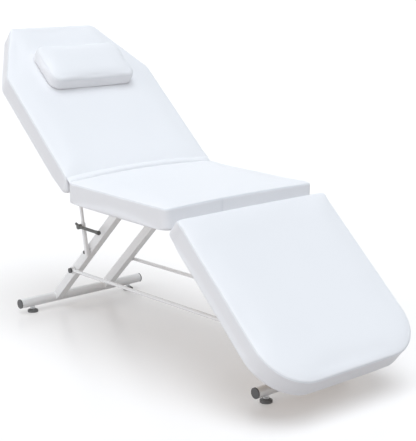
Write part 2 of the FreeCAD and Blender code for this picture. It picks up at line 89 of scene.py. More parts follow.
def joiner(tree):
    """A short way to link an output of one node to an input of another."""
    return lambda source, out, target, into: tree.links.new(source.outputs[out], target.inputs[into])


def open_group(name, kind, takes, gives):
    """A new node group with its sockets, its two end nodes and its joiner."""
    group = bpy.data.node_groups.new(name, kind)
    for way, sockets in (("INPUT", takes), ("OUTPUT", gives)):
        for socket, form in sockets:
            group.interface.new_socket(socket, in_out=way, socket_type="NodeSocket" + form)
    return group, add(group, "NodeGroupInput"), add(group, "NodeGroupOutput"), joiner(group)


def new_piece(name, mesh):
    piece = bpy.data.objects.new(name, mesh)
    bpy.context.scene.collection.objects.link(piece)
    return piece


def new_finish(name, colour, roughness, metallic=0.0):
    finish = bpy.data.materials.new(name)
    finish.use_nodes = True
    shader = finish.node_tree.nodes["Principled BSDF"]
    set_inputs(shader, base_color=(*colour, 1), roughness=roughness, metallic=metallic)
    finish.diffuse_color = (*colour, 1)
    return finish, finish.node_tree, shader


def coated_surface():
    """Uneven tone, gloss and fine relief of a sprayed or moulded surface."""
    group, enter, leave, link = open_group(
        "coated_surface", "ShaderNodeTree",
        (("Place", "Vector"), ("Tone", "Color"), ("Low Tone", "Color"), ("Patch Scale", "Float"),
         ("Grain Scale", "Float"), ("Smoothest", "Float"), ("Roughest", "Float")),
        (("Tone", "Color"), ("Gloss", "Float"), ("Relief", "Float")),
    )
    patch = add(group, "ShaderNodeTexNoise", detail=4.0, roughness=0.6)
    grain = add(group, "ShaderNodeTexNoise", detail=2.0, roughness=0.5)
    blend = mixer(group)
    gloss = add(group, "ShaderNodeMapRange")
    link(enter, "Place", patch, "Vector")
    link(enter, "Patch Scale", patch, "Scale")
    link(enter, "Place", grain, "Vector")
    link(enter, "Grain Scale", grain, "Scale")
    link(patch, "Fac", blend, "Factor")
    link(enter, "Low Tone", blend, 6)
    link(enter, "Tone", blend, 7)
    link(patch, "Fac", gloss, "Value")
    link(enter, "Roughest", gloss, "To Min")
    link(enter, "Smoothest", gloss, "To Max")
    link(blend, 2, leave, "Tone")
    link(gloss, "Result", leave, "Gloss")
    link(grain, "Fac", leave, "Relief")
    return group


coat = coated_surface()


def coated_finish(name, tone, low_tone, patch, grain, smoothest, roughest, depth, metallic=0.0):
    """A material whose tone, gloss and relief come from the coated surface."""
    finish, tree, shader = new_finish(name, tone, roughest, metallic)
    place = add(tree, "ShaderNodeTexCoord")
    surface = add(tree, "ShaderNodeGroup")
    surface.node_tree = coat
    set_inputs(
        surface, tone=(*tone, 1), low_tone=(*low_tone, 1), patch_scale=patch, grain_scale=grain,
        smoothest=smoothest, roughest=roughest,
    )
    bump = add(tree, "ShaderNodeBump", strength=0.35, distance=depth)
    link = joiner(tree)
    link(place, "Object", surface, "Place")
    link(surface, "Tone", shader, "Base Color")
    link(surface, "Gloss", shader, "Roughness")
    link(surface, "Relief", bump, "Height")
    link(bump, "Normal", shader, "Normal")
    return finish


def dress(name, finish):
    """Gives a solid its finish and the name of its slot."""
    nodes[name].data.materials.clear()
    nodes[name].data.materials.append(finish)


def rolled_copy(name, direction, radius, shortest):
    """A copy of a solid whose long edges along a direction are rolled to a radius."""
    work = bmesh.new()
    work.from_mesh(nodes[name].data)
    bmesh.ops.remove_doubles(work, verts=work.verts, dist=same_point)
    bmesh.ops.dissolve_limit(
        work, angle_limit=math.radians(0.6), verts=work.verts, edges=work.edges
    )
    long_edges = []
    for edge in work.edges:
        run = edge.verts[1].co - edge.verts[0].co
        if edge.is_convex and run.length > shortest and abs(run.normalized().dot(direction)) > 0.999:
            long_edges.append(edge)
    bmesh.ops.bevel(
        work, geom=long_edges, offset=radius, segments=3, profile=0.5, affect="EDGES", clamp_overlap=True
    )
    mesh = bpy.data.meshes.new(name + "_tube")
    work.to_mesh(mesh)
    work.free()
    mesh.shade_smooth()
    mesh.set_sharp_from_angle(angle=crease_angle)
    return new_piece(name + "_tube", mesh)


powder_coat = coated_finish(
    "white_powder_coat", (0.985, 0.978, 0.972), (0.965, 0.958, 0.952), 9.0, 900.0, 0.28, 0.38, 0.00025
)


def clear_gloss(finish):
    """The hard, glassy skin of a baked white finish."""
    shader = finish.node_tree.nodes["Principled BSDF"]
    shader.inputs["Specular IOR Level"].default_value = 0.8
    set_inputs(shader, coat_weight=0.8, coat_roughness=0.22)


clear_gloss(powder_coat)
for name, (run, edge) in tube_runs.items():
    tube = rolled_copy(name, run, edge, shortest_rolled)
    tube.data.materials.append(powder_coat)
    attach(tube, "base")
    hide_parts(name)
for name in ("foot_tube_head", "foot_tube_foot"):
    dress(name, powder_coat)

# Weld beads: short rippled runs of weld under the powder, round the foot of each leg
# where it is coped on to its foot tube, and along its top under the seat rail.
weld_pitch = 2.4 * mm
weld_size = Vector((1.9, 1.9, 2.2)) * mm
weld_proud = 0.8 * mm
weld_beside = 0.4 * mm
weld_steps = 24


def along_path(name, shape, axis, smooth):
    """A group that sets copies of a unit shape at an even pitch along a path, turned to follow it."""
    group, enter, leave, link = open_group(
        name, "GeometryNodeTree",
        (("Path", "Geometry"), ("Pitch", "Float"), ("Size", "Vector"), ("Finish", "Material")),
        (("Row", "Geometry"),),
    )
    line = add(group, "GeometryNodeMeshToCurve")
    even = add(group, "GeometryNodeResampleCurve")
    even.mode = "LENGTH"
    kind, sizes = shape
    one = add(group, kind, **sizes)
    sized = add(group, "GeometryNodeTransform")
    tangent = add(group, "GeometryNodeInputTangent")
    turn = add(group, "FunctionNodeAlignRotationToVector")
    turn.axis = axis
    place = add(group, "GeometryNodeInstanceOnPoints")
    real = add(group, "GeometryNodeRealizeInstances")
    shade = add(group, "GeometryNodeSetShadeSmooth", shade_smooth=smooth)
    paint = add(group, "GeometryNodeSetMaterial")
    link(enter, "Path", line, "Mesh")
    link(line, "Curve", even, "Curve")
    link(enter, "Pitch", even, "Length")
    link(one, "Mesh", sized, "Geometry")
    link(enter, "Size", sized, "Scale")
    link(tangent, "Tangent", turn, "Vector")
    link(even, "Curve", place, "Points")
    link(sized, "Geometry", place, "Instance")
    link(turn, "Rotation", place, "Rotation")
    link(place, "Instances", real, "Geometry")
    link(real, "Geometry", shade, "Geometry")
    link(shade, "Geometry", paint, "Geometry")
    link(enter, "Finish", paint, "Material")
    link(paint, "Geometry", leave, "Row")
    return group


def settled(piece):
    """Keeps what a piece's modifiers make of it as its own plain mesh."""
    bpy.context.view_layer.update()
    seen = piece.evaluated_get(bpy.context.evaluated_depsgraph_get())
    piece.data = bpy.data.meshes.new_from_object(seen)
    piece.modifiers.clear()


def grown(piece, group, values):
    """Runs a node group with its values on a piece and keeps the result as a plain mesh."""
    row = piece.modifiers.new("row", "NODES")
    row.node_group = group
    for socket in group.interface.items_tree:
        if socket.item_type == "SOCKET" and socket.in_out == "INPUT" and socket.name in values:
            row[socket.identifier] = values[socket.name]
    settled(piece)
    piece.data.name = piece.name


def row_piece(name, group, paths, closed, pitch, size, finish, body):
    """A row of repeats along paths that rides a body."""
    verts = []
    edges = []
    for path in paths:
        first = len(verts)
        verts.extend(path)
        edges.extend((first + i, first + i + 1) for i in range(len(path) - 1))
        if closed:
            edges.append((first + len(path) - 1, first))
    mesh = bpy.data.meshes.new(name + "_path")
    mesh.from_pydata(verts, edges, [])
    piece = new_piece(name, mesh)
    grown(piece, group, {"Pitch": pitch, "Size": size, "Finish": finish})
    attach(piece, body)


bead = ("GeometryNodeMeshUVSphere", {"segments": 8, "rings": 5, "radius": 1.0})
bead_row = along_path("beads_along", bead, "Z", True)
foot_radius = 17.0 * mm
leg_half = 15.5 * mm
weld_paths = []
for end, sense in (("head", 1), ("foot", -1)):
    low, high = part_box("foot_tube_" + end)
    axis_x = (low.x + high.x) / 2
    axis_z = (low.z + high.z) / 2
    along = Vector((sense * math.cos(leg_slope), 0, math.sin(leg_slope)))
    across = Vector((-sense * math.sin(leg_slope), 0, math.cos(leg_slope)))
    for side in ("near", "far"):
        leg_low, leg_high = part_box("leg_" + end + "_" + side)
        for y in (leg_low.y - weld_beside, leg_high.y + weld_beside):
            arc = []
            for step in range(weld_steps + 1):
                shift = leg_half * (2 * step / weld_steps - 1)
                reach = math.sqrt(foot_radius ** 2 - shift ** 2) + weld_proud
                spot = across * shift + along * reach
                arc.append((axis_x + spot.x, y, axis_z + spot.z))
            weld_paths.append(arc)
            top = leg_high.z - weld_proud
            reach = leg_half / math.sin(leg_slope)
            middle = axis_x + sense * (top - axis_z) / math.tan(leg_slope)
            weld_paths.append([(middle - reach, y, top), (middle + reach, y, top)])
        for shift in (-leg_half, leg_half):
            spot = across * shift + along * (math.sqrt(foot_radius ** 2 - shift ** 2) + weld_proud)
            ends = (leg_low.y, leg_high.y)
            weld_paths.append([(axis_x + spot.x, y, axis_z + spot.z) for y in ends])
row_piece(
    "weld_beads", bead_row, weld_paths, False, weld_pitch, weld_size, powder_coat, "base",
)

# End plugs: dark grey plastic mouldings pressed into the foot tubes, with a thin rim
# that covers the cut end of the steel.
plug_plastic = coated_finish(
    "grey_plastic", (0.135, 0.135, 0.138), (0.105, 0.105, 0.108), 30.0, 1600.0, 0.42, 0.55, 0.0002
)
dress("foot_tube_plugs", plug_plastic)

# Levelling feet: moulded grey discs on zinc-plated threaded studs with a hexagon nut,
# screwed up into bushes in the foot tubes.
foot_plastic = coated_finish(
    "grey_foot", (0.19, 0.19, 0.19), (0.15, 0.15, 0.15), 40.0, 1500.0, 0.45, 0.6, 0.0002
)
zinc = coated_finish(
    "zinc_steel", (0.74, 0.75, 0.76), (0.62, 0.63, 0.65), 60.0, 1200.0, 0.24, 0.40, 0.0001, 1.0
)
thread, thread_tree, thread_shader = new_finish("zinc_thread", (0.72, 0.73, 0.74), 0.3, 1.0)
thread_place = add(thread_tree, "ShaderNodeTexCoord")
thread_wave = add(thread_tree, "ShaderNodeTexWave", scale=210.0, distortion=0.0)
thread_wave.bands_direction = "Z"
thread_bump = add(thread_tree, "ShaderNodeBump", strength=0.7, distance=0.0006)
link = joiner(thread_tree)
link(thread_place, "Object", thread_wave, "Vector")
link(thread_wave, "Fac", thread_bump, "Height")
link(thread_bump, "Normal", thread_shader, "Normal")
for end in ("head", "foot"):
    for side in ("near", "far"):
        dress("foot_disc_" + end + "_" + side, foot_plastic)
        dress("foot_stud_" + end + "_" + side, thread)
dress("foot_tube_bushes", zinc)

# Stretchers: thin steel rods with flattened eyes, held on studs in the legs' outer walls
# by a washer and a dark push-on cap, so that head and foot legs cannot spread.
enamel = coated_finish(
    "white_rod", (0.99, 0.985, 0.98), (0.97, 0.965, 0.96), 14.0, 700.0, 0.20, 0.28, 0.0001
)
clear_gloss(enamel)
for side in ("near", "far"):
    dress("stretcher_" + side, enamel)
dress("stretcher_studs", zinc)
dress("stretcher_washers", zinc)
dress("stretcher_caps", plug_plastic)

# Boards: raw plywood under each section, with the long grain running head to foot.
# The cover is turned under their edges and stapled.
plywood, wood_tree, wood_shader = new_finish("plywood", (0.56, 0.40, 0.24), 0.6)
wood_place = add(wood_tree, "ShaderNodeTexCoord")
wood_stretch = add(wood_tree, "ShaderNodeMapping")
wood_stretch.inputs["Scale"].default_value = (2.2, 34.0, 6.0)
wood_figure = add(wood_tree, "ShaderNodeTexNoise", scale=1.0, detail=6.0, roughness=0.65, distortion=1.4)
wood_pores = add(wood_tree, "ShaderNodeTexNoise", scale=14.0, detail=3.0, roughness=0.6)
wood_tones = add(wood_tree, "ShaderNodeValToRGB")
wood_stops = ((0.32, (0.42, 0.27, 0.145, 1)), (0.68, (0.66, 0.49, 0.31, 1)))
for stop, (position, tone) in zip(wood_tones.color_ramp.elements, wood_stops):
    stop.position = position
    stop.color = tone
wood_bump = add(wood_tree, "ShaderNodeBump", strength=0.3, distance=0.0004)
link = joiner(wood_tree)
link(wood_place, "Object", wood_stretch, "Vector")
link(wood_stretch, "Vector", wood_figure, "Vector")
link(wood_stretch, "Vector", wood_pores, "Vector")
link(wood_figure, "Fac", wood_tones, "Fac")
link(wood_tones, "Color", wood_shader, "Base Color")
link(wood_pores, "Fac", wood_bump, "Height")
link(wood_bump, "Normal", wood_shader, "Normal")
for section in ("seat", "backrest", "legrest"):
    dress(section + "_board", plywood)

# Hinges: pressed steel leaves rolled round pins, zinc plated, two under each joint. One
# leaf is screwed to the seat's board and the other to the section's.
for section in ("backrest", "legrest"):
    for part in ("seat_leaves", "leaves", "pins"):
        dress(section + "_hinge_" + part, zinc)

# Screws: zinc-plated pan heads with a cross recess, driven up into the boards through
# leaves, brackets and rails. Their shanks are hidden in the wood.
screw_profile = ((1.0, 0.0), (0.98, 0.45), (0.86, 0.78), (0.66, 0.95), (0.46, 1.0))
recess_reach = (0.42, 0.2, 0.13, 0.2)
recess_heights = (0.99, 0.25)
wide_head = 5 * mm
wide_height = 3.0 * mm
small_height = 1.6 * mm
head_dome = 1.15


def screw_head():
    """A pan head of radius and height one, standing on its rim, with a cross recess."""
    work = bmesh.new()
    turns = 16
    step = 2 * math.pi / turns
    rings = []
    for radius, height in screw_profile:
        rings.append([
            work.verts.new((radius * math.cos(step * i), radius * math.sin(step * i), height))
            for i in range(turns)
        ])
    for height in recess_heights:
        ring = []
        for i in range(turns):
            reach = recess_reach[i % 4]
            ring.append(work.verts.new((reach * math.cos(step * i), reach * math.sin(step * i), height)))
        rings.append(ring)
    for low, high in zip(rings, rings[1:]):
        for i in range(turns):
            j = (i + 1) % turns
            work.faces.new((low[i], low[j], high[j], high[i]))
    work.faces.new(rings[-1])
    work.faces.new(rings[0][::-1])
    mesh = bpy.data.meshes.new("screw_head")
    work.to_mesh(mesh)
    work.free()
    mesh.shade_smooth()
    mesh.set_sharp_from_angle(angle=math.radians(38))
    return new_piece("screw_head", mesh)


def heads_on_points():
    """One screw head on each point, standing along a given direction."""
    group, enter, leave, link = open_group(
        "heads_on_points", "GeometryNodeTree",
        (("Points", "Geometry"), ("Head", "Object"), ("Direction", "Vector"), ("Finish", "Material")),
        (("Heads", "Geometry"),),
    )
    shape = add(group, "GeometryNodeObjectInfo")
    size = add(group, "GeometryNodeInputNamedAttribute")
    size.data_type = "FLOAT_VECTOR"
    size.inputs["Name"].default_value = "head_size"
    turn = add(group, "FunctionNodeAlignRotationToVector")
    turn.axis = "Z"
    place = add(group, "GeometryNodeInstanceOnPoints")
    real = add(group, "GeometryNodeRealizeInstances")
    paint = add(group, "GeometryNodeSetMaterial")
    link(enter, "Head", shape, "Object")
    link(enter, "Direction", turn, "Vector")
    link(enter, "Points", place, "Points")
    link(shape, "Geometry", place, "Instance")
    link(turn, "Rotation", place, "Rotation")
    link(size, "Attribute", place, "Scale")
    link(place, "Instances", real, "Geometry")
    link(real, "Geometry", paint, "Geometry")
    link(enter, "Finish", paint, "Material")
    link(paint, "Geometry", leave, "Heads")
    return group


def solids_of(name):
    """The separate solids of a node, each as its points."""
    work = bmesh.new()
    work.from_mesh(nodes[name].data)
    bmesh.ops.remove_doubles(work, verts=work.verts, dist=same_point)
    left = set(work.verts)
    groups = []
    while left:
        start = left.pop()
        group = [start]
        edge = [start]
        while edge:
            for e in edge.pop().link_edges:
                for v in e.verts:
                    if v in left:
                        left.remove(v)
                        group.append(v)
                        edge.append(v)
        groups.append([v.co.copy() for v in group])
    work.free()
    return groups


head_shape = screw_head()
head_tree = heads_on_points()
backrest_tilt = math.radians(40.0)
legrest_drop = math.radians(41.5)
down_of = {
    "seat": Vector((0, 0, -1)),
    "backrest": Matrix.Rotation(backrest_tilt, 3, "Y") @ Vector((0, 0, -1)),
    "legrest": Matrix.Rotation(legrest_drop, 3, "Y") @ Vector((0, 0, -1)),
}
for section, body in (("seat", "base"), ("backrest", "backrest"), ("legrest", "legrest")):
    down = down_of[section]
    spots = []
    sizes = []
    for points in solids_of(section + "_screws"):
        middle = sum(points, Vector()) / len(points)
        lowest = max(point.dot(down) for point in points)
        centre = middle + down * (lowest - middle.dot(down))
        radius = max((point - centre - down * (point - centre).dot(down)).length for point in points)
        height = wide_height if radius > wide_head else small_height
        spots.append(centre - down * height)
        sizes.append((radius, radius, height * head_dome))
    mesh = bpy.data.meshes.new(section + "_screw_points")
    mesh.from_pydata(spots, [], [])
    sized = mesh.attributes.new("head_size", "FLOAT_VECTOR", "POINT")
    for i, size in enumerate(sizes):
        sized.data[i].vector = size
    screws = new_piece(section + "_screw_heads", mesh)
    grown(screws, head_tree, {"Head": head_shape, "Direction": down, "Finish": zinc})
    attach(screws, body)
    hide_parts(section + "_screws")
bpy.data.objects.remove(head_shape)

# Struts: a white tube sleeve bolted beside a leg, with a steel rod sliding in it up to
# a bracket under the section. A dark cast lever on a screw clamps the rod.
lever_coat = coated_finish(
    "dark_lever", (0.150, 0.150, 0.142), (0.115, 0.115, 0.110), 45.0, 900.0, 0.34, 0.48, 0.0003
)
bolt_black = coated_finish(
    "black_bolt", (0.10, 0.10, 0.10), (0.075, 0.075, 0.075), 60.0, 1400.0, 0.35, 0.5, 0.0002
)
for section in ("backrest", "legrest"):
    dress(section + "_strut_sleeve", powder_coat)
    dress(section + "_strut_rod", enamel)
    dress(section + "_strut_bracket", zinc)
    dress(section + "_clamp_lever", lever_coat)
    dress(section + "_strut_bolt", bolt_black)

# Seat: foam on its board under a boxed cover of white leatherette, a top panel sewn to
# a side band. The band's ends are joined on the front face, left of its middle.
seat_low, seat_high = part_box("seat_cushion")
seat_thick = 69.0 * mm
underside = seat_low.z
half_width = seat_high.y
hinge_corner = 9 * mm
seat_radii = [hinge_corner, 24 * mm, 24 * mm, hinge_corner]


def leather_grain():
    """Pebbled grain, soft creases and the faint tone of leatherette, with painted shade along its seams.
    """
    group, enter, leave, link = open_group(
        "leather_grain", "ShaderNodeTree",
        (("Place", "Vector"), ("Tone", "Color"), ("Low Tone", "Color"), ("Seam Tone", "Color"),
         ("Seam", "Float"), ("Pebbles", "Float")),
        (("Tone", "Color"), ("Gloss", "Float"), ("Pebble Height", "Float"), ("Crease Height", "Float")),
    )
    pebble = add(group, "ShaderNodeTexVoronoi", randomness=0.9)
    pebble.feature = "SMOOTH_F1"
    set_inputs(pebble, smoothness=0.6)
    warp = add(group, "ShaderNodeTexNoise", scale=120.0, detail=2.0)
    pulled = mixer(group, "VECTOR")
    pulled.inputs["Factor"].default_value = 0.004
    crease = add(group, "ShaderNodeTexNoise", scale=5.5, detail=3.0, roughness=0.45, distortion=0.6)
    tone = mixer(group)
    seam = mixer(group)
    gloss = add(group, "ShaderNodeMapRange", to_min=0.40, to_max=0.54)
    link(enter, "Place", warp, "Vector")
    link(enter, "Place", pulled, 4)
    link(warp, "Color", pulled, 5)
    link(pulled, 1, pebble, "Vector")
    link(enter, "Pebbles", pebble, "Scale")
    link(enter, "Place", crease, "Vector")
    link(crease, "Fac", tone, "Factor")
    link(enter, "Low Tone", tone, 6)
    link(enter, "Tone", tone, 7)
    # The seam mask pulls the tone towards the seam colour: painted shade in the seam's groove and along
    # the band's join.
    link(enter, "Seam", seam, "Factor")
    link(tone, 2, seam, 6)
    link(enter, "Seam Tone", seam, 7)
    link(seam, 2, leave, "Tone")
    link(crease, "Fac", gloss, "Value")
    link(gloss, "Result", leave, "Gloss")
    link(pebble, "Distance", leave, "Pebble Height")
    link(crease, "Fac", leave, "Crease Height")
    return group


def leatherette_finish():
    finish, tree, shader = new_finish("leatherette", (0.88, 0.872, 0.885), 0.45)
    shader.inputs["Specular IOR Level"].default_value = 0.38
    place = add(tree, "ShaderNodeTexCoord")
    sewn = add(tree, "ShaderNodeAttribute")
    sewn.attribute_name = "seam"
    grain = add(tree, "ShaderNodeGroup")
    grain.node_tree = leather_grain()
    # The seam colour is painted shade, laid on where the seam attribute is set.
    set_inputs(
        grain, tone=(0.89, 0.88, 0.89, 1), low_tone=(0.87, 0.862, 0.875, 1),
        seam_tone=(0.70, 0.705, 0.73, 1), pebbles=850.0,
    )
    fine = add(tree, "ShaderNodeBump", strength=0.22, distance=0.0003)
    soft = add(tree, "ShaderNodeBump", strength=0.35, distance=0.006)
    link = joiner(tree)
    link(place, "Object", grain, "Place")
    link(sewn, "Fac", grain, "Seam")
    link(grain, "Tone", shader, "Base Color")
    link(grain, "Gloss", shader, "Roughness")
    link(grain, "Crease Height", soft, "Height")
    link(grain, "Pebble Height", fine, "Height")
    link(soft, "Normal", fine, "Normal")
    link(fine, "Normal", shader, "Normal")
    return finish


leatherette = leatherette_finish()


def drawn_in(corners, distance):
    """The outline's corners moved in by a distance, counter-clockwise."""
    moved = []
    count = len(corners)
    for i in range(count):
        first = (corners[i] - corners[i - 1]).normalized()
        second = (corners[(i + 1) % count] - corners[i]).normalized()
        inward = Vector((-first.y - second.y, first.x + second.x))
        moved.append(corners[i] + inward * (2 * distance / inward.length_squared))
    return moved


def walk(corners, radii, first, last):
    """Points along the rounded outline, from the middle of one corner to that of another."""
    points = []
    count = len(corners)
    i = first
    while True:
        here = corners[i]
        back = (corners[i - 1] - here).normalized()
        on = (corners[(i + 1) % count] - here).normalized()
        half = back.angle(on) / 2
        start = here + back * (radii[i] / math.tan(half))
        centre = here + (back + on).normalized() * (radii[i] / math.sin(half))
        sweep = math.pi - 2 * half
        begin, end = (0.5, 1.0) if i == first else (0.0, 0.5) if i == last else (0.0, 1.0)
        spoke = start - centre
        for step in range(13):
            angle = sweep * (begin + (end - begin) * step / 12)
            turned = Matrix.Rotation(angle, 2) @ spoke
            points.append(centre + turned)
        if i == last:
            return points
        i = (i + 1) % count


def even_steps(points, cells):
    """The same path in equal steps."""
    lengths = [0.0]
    for a, b in zip(points, points[1:]):
        lengths.append(lengths[-1] + (b - a).length)
    steps = []
    at = 0
    for k in range(cells + 1):
        goal = lengths[-1] * k / cells
        while at < len(points) - 2 and lengths[at + 1] < goal:
            at += 1
        span = lengths[at + 1] - lengths[at]
        share = (goal - lengths[at]) / span if span else 0.0
        steps.append(points[at].lerp(points[at + 1], min(max(share, 0.0), 1.0)))
    return steps


def ring_of(corners, radii, inset, height, turns, cells):
    """One closed ring round a section: near side, foot end, far side, head end."""
    moved = drawn_in(corners, inset)
    ring = []
    for k in range(4):
        side = even_steps(walk(moved, radii, turns[k], turns[(k + 1) % 4]), cells[k % 2])
        ring.extend(Vector((p.x, p.y, height)) for p in side[:-1])
    return ring


def panel_inside(ring, cells):
    """The points of a panel inside its edge ring, spread evenly between the four sides."""
    long, wide = cells
    near = ring[: long + 1]
    foot = ring[long : long + wide + 1]
    far = ring[long + wide : 2 * long + wide + 1][::-1]
    head = (ring[2 * long + wide :] + ring[:1])[::-1]
    inside = []
    for i in range(1, long):
        u = i / long
        for j in range(1, wide):
            v = j / wide
            sides = near[i] * (1 - v) + far[i] * v + head[j] * (1 - u) + foot[j] * u
            ends = (near[0] * (1 - u) + near[-1] * u) * (1 - v) + (far[0] * (1 - u) + far[-1] * u) * v
            inside.append(sides - ends)
    return inside


def panel_faces(edge_start, inside_start, cells):
    """Quads of a panel whose edge ring and inner points start at those indices."""
    long, wide = cells
    around = 2 * (long + wide)

    def at(i, j):
        if j == 0:
            return edge_start + i
        if i == long:
            return edge_start + long + j
        if j == wide:
            return edge_start + 2 * long + wide - i
        if i == 0:
            return edge_start + (around - j) % around
        return inside_start + (i - 1) * (wide - 1) + j - 1

    return [
        (at(i, j), at(i + 1, j), at(i + 1, j + 1), at(i, j + 1))
        for i in range(long)
        for j in range(wide)
    ]


def cover_mesh(name, rings, top, bottom, cells):
    """A closed cover: rings from underside to top panel, the panel, and its closing."""
    around = len(rings[0])
    verts = [point for ring in rings for point in ring]
    faces = []
    for k in range(len(rings) - 1):
        for i in range(around):
            j = (i + 1) % around
            faces.append((k * around + i, k * around + j, (k + 1) * around + j, (k + 1) * around + i))
    last = (len(rings) - 1) * around
    faces.extend(panel_faces(last, len(verts), cells))
    verts = verts + top
    faces.extend(face[::-1] for face in panel_faces(0, len(verts), cells))
    verts = verts + bottom
    mesh = bpy.data.meshes.new(name)
    mesh.from_pydata(verts, [], faces)
    mesh.update()
    return mesh


def swollen(name, mesh, held, pressure, frames=20):
    """Where the cover's points go when the foam presses it outwards, held where it is stapled."""
    piece = new_piece(name + "_trial", mesh)
    stapled = piece.vertex_groups.new(name="stapled")
    stapled.add(held, 1.0, "REPLACE")
    cloth = piece.modifiers.new("cover", "CLOTH")
    fabric = cloth.settings
    fabric.quality = 7
    fabric.mass = 0.35
    fabric.tension_stiffness = 60.0
    fabric.compression_stiffness = 60.0
    fabric.shear_stiffness = 25.0
    fabric.bending_stiffness = 6.0
    fabric.use_pressure = True
    fabric.uniform_pressure_force = pressure
    fabric.effector_weights.gravity = 0.0
    fabric.vertex_group_mass = "stapled"
    cloth.point_cache.frame_start = 1
    cloth.point_cache.frame_end = frames
    for step in range(1, frames + 1):
        bpy.context.scene.frame_set(step)
    seen = piece.evaluated_get(bpy.context.evaluated_depsgraph_get())
    moved = [v.co.copy() for v in seen.data.vertices]
    bpy.context.scene.frame_set(1)
    bpy.data.objects.remove(piece)
    return moved


def side_levels(thick, low_round, high_round, wall_cells):
    """(height, inset) of the side's rings from the lower fold to the top panel."""
    levels = []
    for step in range(4):
        angle = math.radians(90 * step / 4)
        levels.append((low_round * (1 - math.cos(angle)), low_round * (1 - math.sin(angle))))
    for step in range(wall_cells + 1):
        levels.append((low_round + (thick - low_round - high_round) * step / wall_cells, 0.0))
    for step in range(1, 6):
        angle = math.radians(90 * step / 5)
        rise = high_round * math.sin(angle)
        levels.append((thick - high_round + rise, high_round * (1 - math.cos(angle))))
    return levels


def rippled(ring, most):
    """A side ring with the slight waves of a band pulled over foam."""
    made = []
    for i, point in enumerate(ring):
        along = ring[(i + 1) % len(ring)] - ring[i - 1]
        out = Vector((along.y, -along.x, 0)).normalized()
        made.append(point + out * most * (noise.noise(point * 17.0) - 0.4))
    return made


tight_cells = 6


def hung(ring, drop, cells, tight):
    """A lower ring let down below the board, but not at an end with hinges."""
    long, wide = cells
    made = []
    for i, point in enumerate(ring):
        from_head = min(i, 2 * long + wide - i) if i <= 2 * long + wide else 0
        from_foot = max(long - i, i - long - wide, 0)
        share = 1.0
        if "head" in tight:
            share = min(share, max(from_head - 1, 0) / tight_cells)
        if "foot" in tight:
            share = min(share, max(from_foot - 1, 0) / tight_cells)
        made.append(point - Vector((0, 0, drop * share)))
    return made


def eased(pushes, cells, times):
    """The rise of a top panel with its small dents smoothed out."""
    long, wide = cells[0] - 1, cells[1] - 1
    for _ in range(times):
        made = []
        for i in range(long):
            for j in range(wide):
                total = Vector()
                for a, b in ((i - 1, j), (i + 1, j), (i, j - 1), (i, j + 1)):
                    if 0 <= a < long and 0 <= b < wide:
                        total += pushes[a * wide + b]
                made.append(pushes[i * wide + j] * 0.4 + total * 0.15)
        pushes = made
    return pushes


# Height and inset, in millimetres, of the hem's rings: down the board's edge, in under
# the board and out again to the fold.
hem_path = ((12.4, 25.4), (0.06, 25.4), (-0.06, 42.0), (-0.8, 42.0), (-0.8, 24.0), (-0.3, 14.0))
hem_fold = 14.0
wall_cell = 9 * mm
hang_reach = 24 * mm
side_swell = 3.4 * mm
panel_easing = 10
band_ripple = 0.5 * mm


def padded_section(
    name, corners_at, radii, turns, cells, thick, rounds, shrink, tight, crown, pressure, board, hang=0.0
):
    """The swollen cover of a section in its flat place: its rings and its inner points."""
    levels = side_levels(thick, rounds[0], rounds[1], max(3, round(thick / wall_cell)))
    rings = []
    if board:
        for height, inset in hem_path:
            ring = ring_of(corners_at(0.0), radii, inset * mm, height * mm, turns, cells)
            rings.append(hung(ring, hang * 0.6, cells, tight) if inset == hem_fold else ring)
    held_rings = len(rings) + (2 if board else 0)
    for height, inset in levels:
        share = min(max(height / thick, 0.0), 1.0)
        ring = ring_of(corners_at(share), radii, inset + shrink, height, turns, cells)
        rings.append(hung(ring, hang * max(1 - height / hang_reach, 0.0), cells, tight))
    around = len(rings[0])
    top = panel_inside(rings[-1], cells)
    bottom = panel_inside(rings[0], cells)
    start = [point for ring in rings for point in ring] + top + bottom
    inner_start = around * len(rings)
    held = list(range(held_rings * around)) + list(range(inner_start + len(top), len(start)))
    moved = swollen(name, cover_mesh(name + "_trial", rings, top, bottom, cells), held, pressure)
    for k, point in enumerate(moved):
        if k < inner_start:
            i = k % around
            on_end = cells[0] - 2 < i < sum(cells) + 2
            on_head = i > 2 * cells[0] + cells[1] - 2 or i < 3
            limit = side_swell
            if on_end:
                limit = tight.get("foot", limit)
            if on_head:
                limit = tight.get("head", limit)
            if k >= inner_start - 2 * around:
                limit = max(limit, 0.35 * crown)
        else:
            limit = crown
        push = point - start[k]
        if push.length > 1e-9:
            push = push * (limit * math.tanh(push.length / limit) / push.length)
        moved[k] = start[k] + push
    calm = eased([moved[inner_start + n] - top[n] for n in range(len(top))], cells, panel_easing)
    for n, push in enumerate(calm):
        moved[inner_start + n] = top[n] + push
    rings = [moved[n * around : (n + 1) * around] for n in range(len(rings))]
    for n in range(held_rings, len(rings)):
        rings[n] = rippled(rings[n], band_ripple)
    inside = moved[inner_start : inner_start + len(top)]
    below = moved[inner_start + len(top) :]
    return rings, inside, below


def sewn_rings(rings, place, width, depth, shade):
    """Adds a ring each side of the seam ring and draws the seam in; returns rings and marks, each mark
    the painted shade of its ring.
    """
    made = []
    marks = []
    for n, ring in enumerate(rings):
        if n != place:
            made.append(ring)
            marks.append(0.0)
            continue
        before = rings[n - 1]
        after = rings[n + 1]
        around = len(ring)
        low = []
        high = []
        drawn = []
        for i, p in enumerate(ring):
            low.append(p.lerp(before[i], min(0.45, width / max((before[i] - p).length, width))))
            high.append(p.lerp(after[i], min(0.45, width / max((after[i] - p).length, width))))
            along = ring[(i + 1) % around] - ring[i - 1]
            up = after[i] - before[i]
            out = along.cross(up).normalized()
            drawn.append(p - out * depth)
        made.extend((low, drawn, high))
        # Only the drawn-in ring is marked, with its share of painted shade.
        marks.extend((0.0, shade, 0.0))
    return made, marks


rings_over_seam = 4
# Painted shade on the seat front's join: a dark line where the band's ends meet, with no groove under it.
join_shade = 0.3


